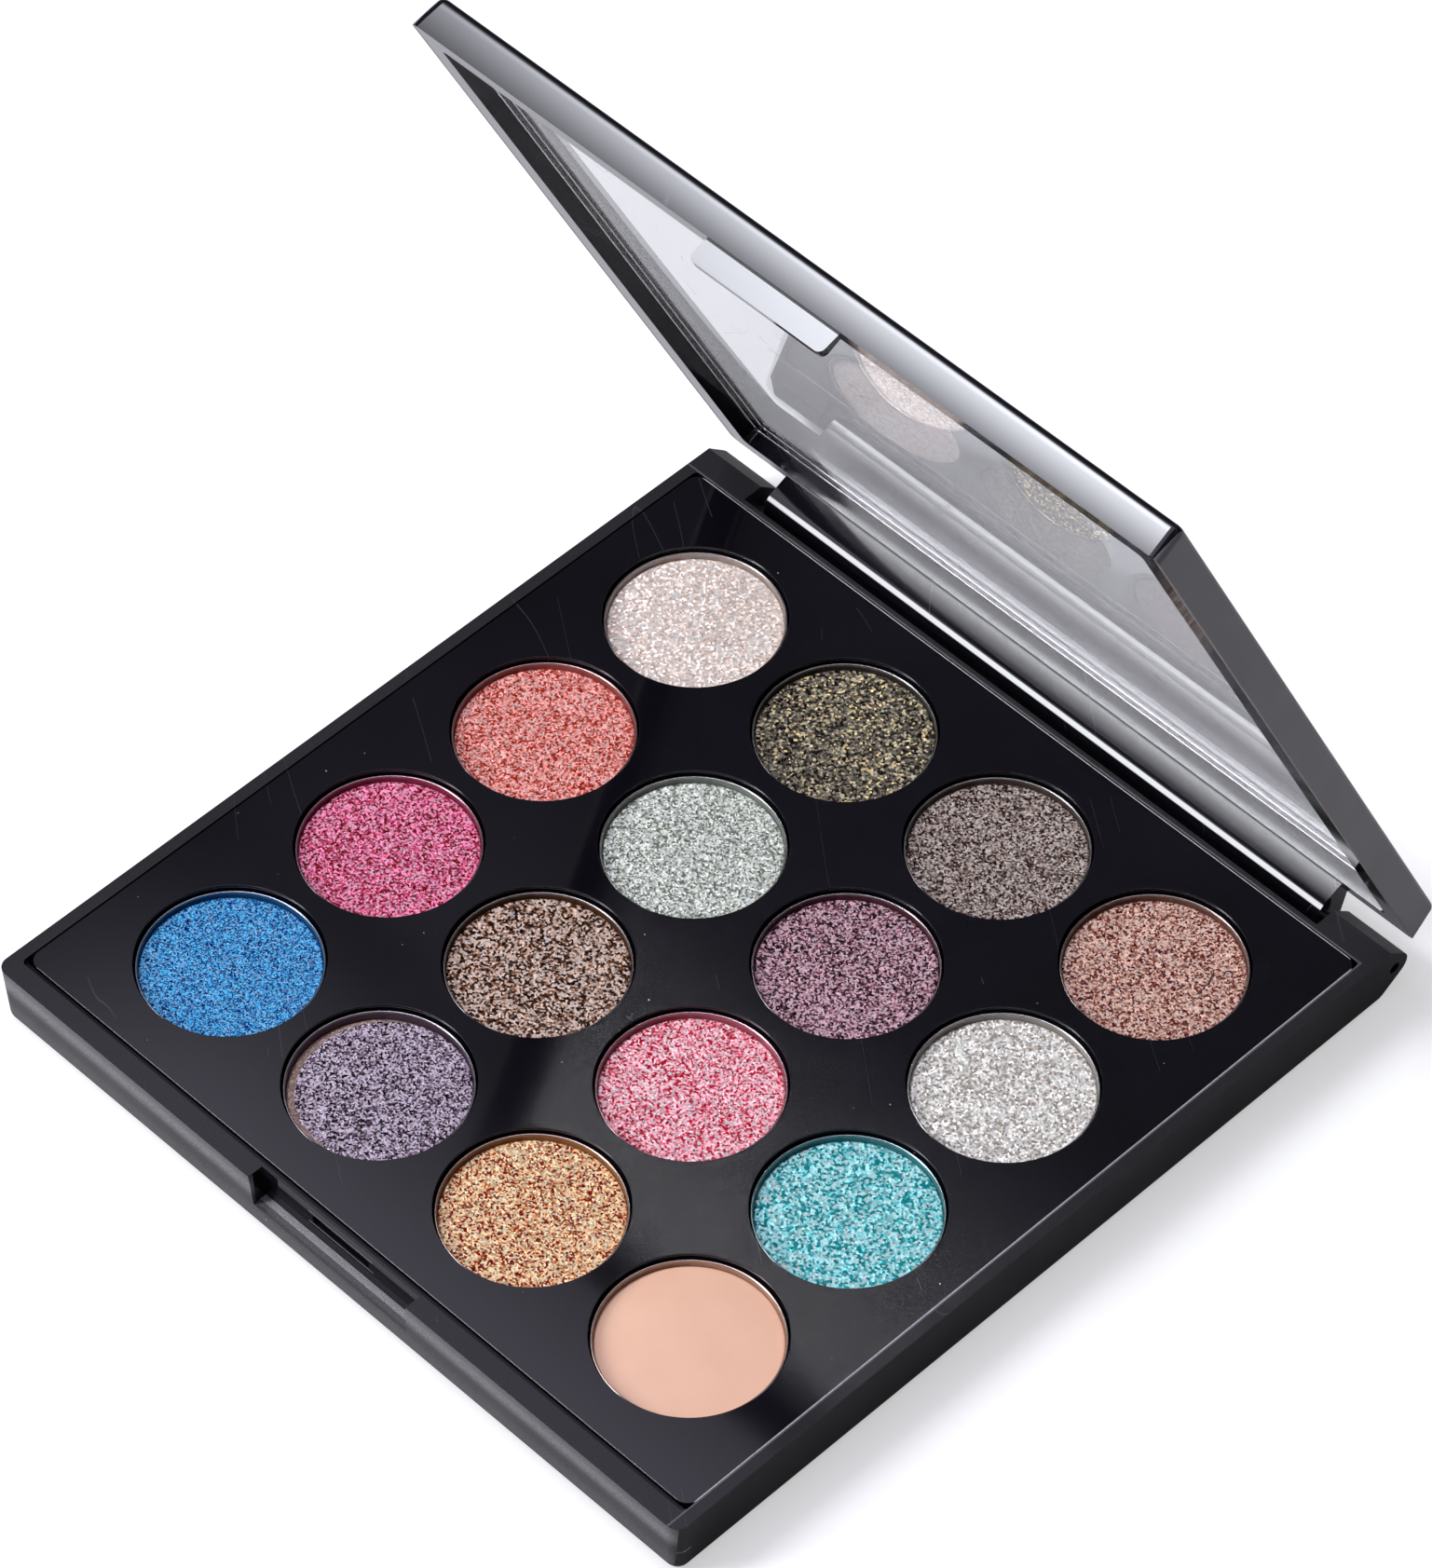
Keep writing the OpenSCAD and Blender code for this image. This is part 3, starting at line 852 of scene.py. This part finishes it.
def base_walls(tree, xyz):
    """The base's outer walls below its rim, and its ears behind the tray."""
    walls = larger(tree, above(tree, absolute(tree, xyz[0]), WALL_X), below(tree, xyz[1], FRONT_Y))
    walls = times(tree, walls, below(tree, xyz[2], RIM_Z - 0.05))
    ears = times(tree, above(tree, xyz[1], EARS_Y), below(tree, xyz[2], RIM_Z))
    return larger(tree, walls, ears)


def base_painted_light(tree, xyz):
    """Painted light: a front wall painted paler below its rim, for the sheen it reflects, and painted highlight
    lines and a painted reflection round the latch recess, the groove and the rim top.
    """
    x, y, z = xyz
    # painted sheen on the front wall, changing with height
    front_sheen = FRONT_SHEEN
    for low, high, change in FRONT_SHEEN_CHANGES:
        front_sheen = scaled(tree, span(tree, z, low, high), change, front_sheen)
    front_sheen = times(tree, front_sheen, below(tree, y, FRONT_Y), below(tree, z, RIM_Z))
    # a painted highlight line along the rim's inner edge, and the rim top painted a little paler
    reach = larger(tree, x, y)
    rim_highlight = times(tree, span(tree, reach, 64.2, 64.1), above(tree, reach, 63.9))
    rim_highlight = times(tree, scaled(tree, rim_highlight, 0.25, 0.06), above(tree, z, RIM_Z))
    # a painted reflection on the latch recess floor, and painted highlight lines round the catch slot
    inside = times(tree, below(tree, y, -65.0), above(tree, y, FRONT_Y))
    ledge = times(tree, span(tree, z, RECESS_Z + 0.3, RECESS_Z + 0.1), above(tree, z, RECESS_Z - 0.1))
    ledge = times(tree, ledge, scaled(tree, above(tree, y, -66.2), 0.65, 0.35))
    from_catch = absolute(tree, less(tree, z, CATCH_Z * MM))
    off = absolute(tree, less(tree, from_catch, (CATCH_H / 2 + 0.15) * MM))
    outline = times(tree, span(tree, off, 0.16, 0.08), below(tree, absolute(tree, x), 6.2))
    hollow = times(tree, inside, scaled(tree, ledge, 0.8, times(tree, outline, 0.4)))
    return calc(tree, "ADD", larger(tree, front_sheen, hollow), rim_highlight)


def tray_edge_highlight(tree, xyz):
    """A painted highlight line along the tray's rear and right edges, where their bevels catch the light."""
    reach = larger(tree, xyz[0], xyz[1])
    edge = span(tree, reach, TRAY_HALF - 0.22, TRAY_HALF - 0.14)
    return times(tree, edge, above(tree, xyz[2], TRAY_TOP - 0.2), 1.5)


def black_plastic(name, satin_and_painted_sheen=None, highlights=None, tint=(0.0035, 0.003, 0.0045), dust=0.5, gloss=0.05, shine=0.5):
    """Polished black moulding with dust, hairlines and finger film; satin walls come with their tone, which on
    the lid is painted sheen for the reflection they show, and painted highlights lift the colour to a pale grey
    where their mask says.
    """
    material, tree, shader, at = start_material(name)
    xyz = split_up(tree, at)
    grain = use_group(tree, "grain", at, Grain=0.16)
    specks = use_group(tree, "dust", at, Spacing=1.5, Share=dust * 0.16, Speck=0.07)
    big_specks = use_group(tree, "dust", at, Spacing=4.2, Share=dust * 0.3, Speck=0.035)
    dusty = larger(tree, specks[0], big_specks[0])
    lines = use_group(tree, "scratch", at, Turn=0.6, Density=1.0, Width=0.0012)
    film = ramp(tree, noise(tree, at, 38.0, 3.0), [(0.35, 0.0), (0.7, 1.0)])
    body = blend_colour(tree, film, tint, [c * 1.5 for c in tint])
    rough = scaled(tree, film, 0.03, gloss)
    height = times(tree, dusty, 0.7)
    if satin_and_painted_sheen:
        walls, tone = satin_and_painted_sheen
        wall = walls(tree, xyz)
        # the walls take their tone: near black on the base, and on the lid a light grey painted sheen standing in
        # for the reflection its side walls show
        body = blend_colour(tree, wall, body, (tone, 0.94 * tone, 0.96 * tone))
        wall_rough = scaled(tree, grain["Mottle"], 0.2, 0.32)
        rough = calc(tree, "ADD", times(tree, wall_rough, wall), times(tree, rough, less(tree, 1.0, wall)))
        height = calc(tree, "ADD", height, times(tree, grain["Height"], wall))
    # painted highlights: where their mask says, the colour is lifted towards a pale grey and the surface made
    # rougher
    if highlights:
        highlit = times(tree, highlights(tree, xyz), ramp(tree, grain["Height"], [(0.3, 0.3), (0.65, 1.0)]))
        body = blend_colour(tree, highlit, body, HIGHLIGHT_GREY)
        rough = scaled(tree, highlit, 0.2, rough)
    body = blend_colour(tree, times(tree, lines[0], 0.25), body, HAIRLINE)
    body = blend_colour(tree, times(tree, dusty, 0.7), body, DUST)
    tree.links.new(body, shader.inputs["Base Color"])
    shader.inputs["Specular IOR Level"].default_value = shine
    tree.links.new(scaled(tree, dusty, 0.5, rough, clamp=True), shader.inputs["Roughness"])
    bump(tree, shader, height, 0.5, 0.06 * MM)
    return material


def from_pan(tree, at, shade, x, y):
    """Offset in metres from a point of a pan, given in millimetres from its middle."""
    across, along = place(SHADES.index(shade))
    return split_up(tree, vector_calc(tree, "SUBTRACT", at, ((across + x) * MM, (along + y) * MM, 0)))


def broken_edge(tree, at):
    """The crescent at the left of the violet powder that has broken away."""
    x, y, _ = from_pan(tree, at, "slate_violet", CHIP_X, CHIP_Y)
    reach = calc(tree, "SQRT", scaled(tree, x, x, times(tree, y, y)))
    ragged = scaled(tree, noise(tree, at, 900.0, 2.0), 0.8 * MM, reach)
    return span(tree, ragged, CHIP_REACH + 0.3, CHIP_REACH + 0.45)


def crack(tree, at):
    """A short crooked crack near the right edge of the rose powder."""
    x, y, _ = from_pan(tree, at, "rose_brown", CRACK_X, CRACK_Y)
    crooked = scaled(tree, noise(tree, at, 700.0, 2.0), 1.6 * MM, less(tree, x, 0.8 * MM))
    thin = span(tree, absolute(tree, scaled(tree, y, 0.18, crooked)), 0.22, 0.1)
    return times(tree, thin, span(tree, absolute(tree, y), 2.4, 1.6))


# dark, middle, light and glint colours of each powder, then flake size
POWDERS = {
    "blue": ((0.002, 0.002, 0.091), (0.002, 0.14, 0.392), (0.077, 0.479, 0.835), (0.45, 0.72, 1.0), 0.17),
    "slate_violet": ((0.002, 0.002, 0.002), (0.138, 0.08, 0.134), (0.545, 0.453, 0.533), (0.8, 0.72, 0.9), 0.25),
    "gold": ((0.197, 0.002, 0.002), (0.665, 0.283, 0.093), (0.939, 0.734, 0.436), (1.0, 0.88, 0.62), 0.27),
    "magenta": ((0.172, 0.002, 0.002), (0.529, 0.034, 0.129), (0.902, 0.278, 0.453), (1.0, 0.66, 0.78), 0.26),
    "brown": ((0.009, 0.002, 0.002), (0.145, 0.043, 0.003), (0.668, 0.493, 0.397), (0.95, 0.82, 0.75), 0.32),
    "hot_pink": ((0.425, 0.002, 0.024), (0.843, 0.214, 0.302), (0.98, 0.666, 0.684), (1.0, 0.85, 0.9), 0.28),
    "turquoise": ((0.002, 0.231, 0.25), (0.101, 0.46, 0.492), (0.471, 0.836, 0.828), (0.8, 1.0, 1.0), 0.36),
    "coral": ((0.361, 0.018, 0.002), (0.656, 0.159, 0.129), (0.931, 0.418, 0.377), (1.0, 0.72, 0.66), 0.27),
    "mint": ((0.164, 0.184, 0.143), (0.471, 0.499, 0.437), (0.847, 0.879, 0.792), (1.0, 1.0, 1.0), 0.27),
    "plum": ((0.002, 0.002, 0.002), (0.169, 0.034, 0.059), (0.679, 0.425, 0.486), (0.9, 0.68, 0.76), 0.27),
    "white": ((0.363, 0.321, 0.274), (0.764, 0.703, 0.642), (1.0, 0.998, 0.919), (1.0, 1.0, 1.0), 0.32),
    "champagne": ((0.744, 0.578, 0.494), (0.883, 0.727, 0.65), (0.917, 0.813, 0.731), (1.0, 1.0, 0.98), 0.36),
    "olive_black": ((0.004, 0.003, 0.002), (0.06, 0.048, 0.034), (0.21, 0.18, 0.13), (0.85, 0.74, 0.5), 0.34),
    "dark_taupe": ((0.015, 0.002, 0.002), (0.138, 0.087, 0.066), (0.452, 0.368, 0.325), (0.85, 0.78, 0.72), 0.26),
    "rose_brown": ((0.091, 0.002, 0.002), (0.367, 0.159, 0.103), (0.851, 0.553, 0.446), (1.0, 0.82, 0.76), 0.26),
}
FLECKS = {"olive_black": (0.06, (0.62, 0.46, 0.2))}
FLAWS = {"slate_violet": (broken_edge, (0.42, 0.29, 0.24)), "rose_brown": (crack, (0.03, 0.012, 0.01))}
CREAM_TONES = (0.745, 0.44, 0.3), (0.785, 0.475, 0.33)
CREAM_STAIN = (0.62, 0.38, 0.27)
# pale grey of the painted highlights on the black plastic
HIGHLIGHT_GREY = (0.46, 0.45, 0.47)
HAIRLINE = (0.10, 0.10, 0.12)
DUST = (0.6, 0.57, 0.55)


def powder_material(shade):
    """Pressed glitter: packed flakes that each take their own tone and tilt, with darker gaps between."""
    dark, mid, light, spark, size = POWDERS[shade]
    material, tree, shader, at = start_material("powder_" + shade)
    normal = tree.nodes.new("ShaderNodeNewGeometry").outputs["Normal"]
    flakes = use_group(tree, "flakes", at, Flake=size, Tilt=0.8, Normal=normal)
    tone = scaled(tree, flakes["Shade"], 1.7, -0.95)
    tone = scaled(tree, noise(tree, at, 1300.0, 2.0), 1.2, tone, clamp=True)
    body = ramp(tree, tone, [(0.05, dark), (0.5, mid), (0.95, light)])
    body = blend_colour(tree, calc(tree, "GREATER_THAN", flakes["Spark"], 0.88), body, spark)
    if shade in FLECKS:
        share, colour = FLECKS[shade]
        body = blend_colour(tree, calc(tree, "LESS_THAN", flakes["Spark"], share), body, colour)
    if shade in FLAWS:
        flaw, colour = FLAWS[shade]
        body = blend_colour(tree, flaw(tree, at), body, colour)
    tree.links.new(body, shader.inputs["Base Color"])
    shader.inputs["Metallic"].default_value = 0.3
    shader.inputs["Specular IOR Level"].default_value = 0.35
    tree.links.new(scaled(tree, flakes["Shade"], 0.25, 0.25), shader.inputs["Roughness"])
    bump(tree, shader, flakes["Height"], 0.6, 0.06 * MM, flakes["Normal"])
    return material


def cream_material():
    """Smooth cream of two near tones, with a few dark specks."""
    material, tree, shader, at = start_material("cream_peach")
    broad = noise(tree, at, 140.0, 3.0)
    tone = ramp(tree, broad, [(0.3, CREAM_TONES[0]), (0.7, CREAM_TONES[1])])
    specks = use_group(tree, "dust", at, Spacing=2.4, Share=0.16, Speck=0.055)
    tree.links.new(blend_colour(tree, specks[0], tone, (0.03, 0.02, 0.02)), shader.inputs["Base Color"])
    tree.links.new(scaled(tree, noise(tree, at, 900.0, 2.0), 0.15, 0.36), shader.inputs["Roughness"])
    bump(tree, shader, broad, 0.25, 0.05 * MM)
    return material


def pan_material(shade, stain):
    """Bright pressed sheet, its inner wall stained with the shade it holds and its rim wiped clean."""
    material, tree, shader, at = start_material("pan_metal_" + shade)
    smear = noise(tree, at, 420.0, 4.0)
    under_rim = less(tree, (PAN_Z + PAN_H - 0.08) * MM, split_up(tree, at)[2])
    stained = scaled(tree, under_rim, 4 / MM, scaled(tree, smear, 1.6, -0.85), clamp=True)
    grime = blend_colour(tree, smear, [c * 0.3 for c in stain], [c * 0.9 for c in stain])
    metal = [0.26 + 0.4 * c for c in stain]
    tree.links.new(blend_colour(tree, stained, metal, grime), shader.inputs["Base Color"])
    tree.links.new(scaled(tree, stained, -0.85, 1.0), shader.inputs["Metallic"])
    tree.links.new(scaled(tree, stained, 0.35, 0.25), shader.inputs["Roughness"])
    return material


def steel_material():
    """Drawn steel with streaks along the pin."""
    material, tree, shader, at = start_material("pin_steel")
    streaks = noise(tree, vector_calc(tree, "MULTIPLY", at, (60, 4000, 4000)), 1.0, 3.0)
    tree.links.new(ramp(tree, streaks, [(0.3, 0.25), (0.7, 0.5)]), shader.inputs["Base Color"])
    shader.inputs["Metallic"].default_value = 1.0
    tree.links.new(scaled(tree, streaks, 0.2, 0.2), shader.inputs["Roughness"])
    return material


def glue_material():
    """Dried glue, amber and cloudy."""
    material, tree, shader, at = start_material("dried_glue")
    tone = ramp(tree, noise(tree, at, 500.0, 3.0), [(0.3, (0.5, 0.44, 0.33)), (0.7, (0.68, 0.62, 0.5))])
    tree.links.new(tone, shader.inputs["Base Color"])
    shader.inputs["Roughness"].default_value = 0.6
    return material


def window_material():
    """Clear moulding with hairlines and specks, a little bowed and warped, that casts only a faint shadow."""
    material, tree, shader, at = start_material("window_clear")
    shader.inputs["Base Color"].default_value = (0.93, 0.93, 0.94, 1)
    shader.inputs["Transmission Weight"].default_value = 1.0
    shader.inputs["IOR"].default_value = 1.46
    lines = use_group(tree, "scratch", at, Turn=0.9, Density=1.0, Width=0.0014)
    more_lines = use_group(tree, "scratch", at, Turn=2.4, Density=1.4, Width=0.001)
    specks = use_group(tree, "dust", at, Spacing=3.4, Share=0.1, Speck=0.05)
    marks = larger(tree, larger(tree, lines[0], more_lines[0]), specks[0])
    tree.links.new(times(tree, marks, 0.25), shader.inputs["Roughness"])
    up = larger(tree, less(tree, split_up(tree, at)[2], 30 * MM), 0.0)
    warp = times(tree, noise(tree, at, 22.0, 1.0), 0.04 * MM)
    bump(tree, shader, scaled(tree, times(tree, up, up), -0.27, warp), 1.0, 1.0)
    clear = tree.nodes.new("ShaderNodeBsdfTransparent")
    clear.inputs[0].default_value = (0.9, 0.9, 0.9, 1)
    shadow = tree.nodes.new("ShaderNodeLightPath").outputs["Is Shadow Ray"]
    either = tree.nodes.new("ShaderNodeMixShader")
    for value, socket in zip((shadow, shader.outputs[0], clear.outputs[0]), either.inputs):
        tree.links.new(value, socket)
    tree.links.new(either.outputs[0], tree.nodes["Material Output"].inputs["Surface"])
    return material


# ---------------------------------------------------------------- the pieces

base = model_base()
tray = model_tray()
pins = model_pins()
lid = model_lid()
window = model_window()
for piece in (lid, window):
    swing_open(piece)

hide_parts("base_shell")
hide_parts("pan_tray")
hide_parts("hinge_pin_left")
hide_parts("hinge_pin_right")
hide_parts("lid_frame")
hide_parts("lid_window")

finishes = [
    # the base gets painted sheen on its front wall and painted highlights at its rim and latch recess
    (base, "base", "base_black", black_plastic("base_black", (base_walls, 0.006), base_painted_light, shine=0.16)),
    # the tray gets a painted highlight line along its rear and right edges
    (tray, "base", "tray_black",
     black_plastic("tray_black", highlights=tray_edge_highlight, tint=(0.003, 0.0025, 0.0042), gloss=0.06)),
    # the lid's side walls are painted a light grey, a painted sheen standing in for the reflection they show
    (lid, "lid", "lid_black", black_plastic("lid_black", (lid_walls, 0.17), dust=0.25)),
    (window, "lid", "window_clear", window_material()),
]
steel = steel_material()
finishes += [(pin, "base", "pin_steel", steel) for pin in pins]

pan_pattern = model_pan()
powder_pattern = model_powder(POWDER_R)
for i, shade in enumerate(SHADES):
    x, y = place(i)
    pan = copy_to(pan_pattern, "cup_" + shade, x, y)
    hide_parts("pan_" + shade)
    if shade == "peach_cream":
        cream_pattern = model_powder(CREAM_R, CREAM_CROWN)
        powder = copy_to(cream_pattern, "fill_" + shade, x, y)
        bpy.data.objects.remove(cream_pattern, do_unlink=True)
        press_relief(powder, 9, 0.12)
        finishes.append((powder, "base", "cream_peach", cream_material()))
        stain = CREAM_STAIN
    else:
        powder = copy_to(powder_pattern, "fill_" + shade, 0, 0)
        if shade == "slate_violet":
            chip(powder)
        move_by(powder, x, y)
        press_relief(powder, 5, 0.16)
        press_relief(powder, 0.7, 0.16)
        finishes.append((powder, "base", "powder_" + shade, powder_material(shade)))
        stain = [c * 0.7 for c in POWDERS[shade][1]]
    even_shading(powder)
    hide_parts("shade_" + shade)
    finishes.append((pan, "base", "pan_metal", pan_material(shade, stain)))
for pattern in (pan_pattern, powder_pattern):
    bpy.data.objects.remove(pattern, do_unlink=True)

for piece, body, slot, material in finishes:
    piece.data.materials.clear()
    piece.data.materials.append(material)
    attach(piece, body)
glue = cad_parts["pan_glue_spots"]
glue.data.materials.clear()
glue.data.materials.append(glue_material())

# ---------------------------------------------------------------- floor, light and camera

let_go()
bpy.ops.mesh.primitive_plane_add(size=6, location=(0, 0, 0))
floor = bpy.context.active_object
floor.name = "table"
floor_paint, tree, shader, _ = start_material("table_white")
shader.inputs["Base Color"].default_value = (0.58, 0.58, 0.58, 1)
shader.inputs["Roughness"].default_value = 0.7
shader.inputs["Emission Color"].default_value = (1, 1, 1, 1)
ray = tree.nodes.new("ShaderNodeLightPath")
glow = 0
for kind, strength in (("Camera", 0.52), ("Transmission", 0.24), ("Glossy", 0.1)):
    glow = larger(tree, times(tree, ray.outputs[f"Is {kind} Ray"], strength), glow)
tree.links.new(glow, shader.inputs["Emission Strength"])
floor.data.materials.append(floor_paint)


def softbox(name, centre, normal, size, level, fades, colour):
    """A rectangular light that fades out over the given widths, in metres, at its low and high sides."""
    light = bpy.data.lights.new(name, "AREA")
    light.shape = "RECTANGLE"
    light.size, light.size_y = size
    light.energy = level * math.pi * size[0] * size[1]
    light.color = colour
    light.use_nodes = True
    tree = light.node_tree
    spot = split_up(tree, tree.nodes.new("ShaderNodeNewGeometry").outputs["Parametric"])
    share = 1.0
    for k, (low, high) in enumerate(fades):
        for fade, inside in ((low, spot[k]), (high, less(tree, 1.0, spot[k]))):
            share = times(tree, climb(tree, inside, 0.0, fade / size[k]), share)
    tree.links.new(share, tree.nodes["Emission"].inputs["Strength"])
    lamp = bpy.data.objects.new(name, light)
    bpy.context.scene.collection.objects.link(lamp)
    lamp.location = centre
    lamp.rotation_euler = (-Vector(normal)).to_track_quat("Z", "Y").to_euler()


DOWN = (0, 0, -1)
COOL = (0.87, 0.82, 1.0)
softbox("key", (-0.54, -0.065, 1.05), DOWN, (0.52, 0.41), 28, ((0.42, 0.1), (0.36, 0.1)), (0.9, 0.93, 1.0))
softbox("front", (-0.5, -0.75, 0.64), (0, 0.78, -0.6), (0.32, 0.84), 22, ((0.05, 0.05), (0.2, 0.2)),
        (0.95, 0.97, 1.0))
softbox("top", (-0.26, -0.15, 1.3), DOWN, (1.42, 1.64), 1.45, ((0.15, 0.25), (0.3, 0.12)), COOL)
softbox("rear", (-0.53, 0.5, 1.3), DOWN, (0.86, 0.6), 0.32, ((0.15, 0.2), (0.25, 0.15)), COOL)

world = bpy.data.worlds.new("studio")
bpy.context.scene.world = world
world.use_nodes = True
sky = world.node_tree.nodes["Background"]
sky.inputs[0].default_value = (0.85, 0.88, 1.0, 1)
sky.inputs[1].default_value = 0.09

camera_data = bpy.data.cameras.new("camera")
camera = bpy.data.objects.new("camera", camera_data)
bpy.context.scene.collection.objects.link(camera)
camera_data.sensor_fit = "VERTICAL"
camera_data.sensor_height = 36
camera_data.lens = 179.39
camera_data.clip_start = 0.01
camera_data.clip_end = 20
camera.location = (0.477745, -0.468467, 0.832024)
camera.rotation_euler = [math.radians(a) for a in (40.45483, 0.01062, 45.27639)]
bpy.context.scene.camera = camera
bpy.context.scene.view_settings.view_transform = "Standard"
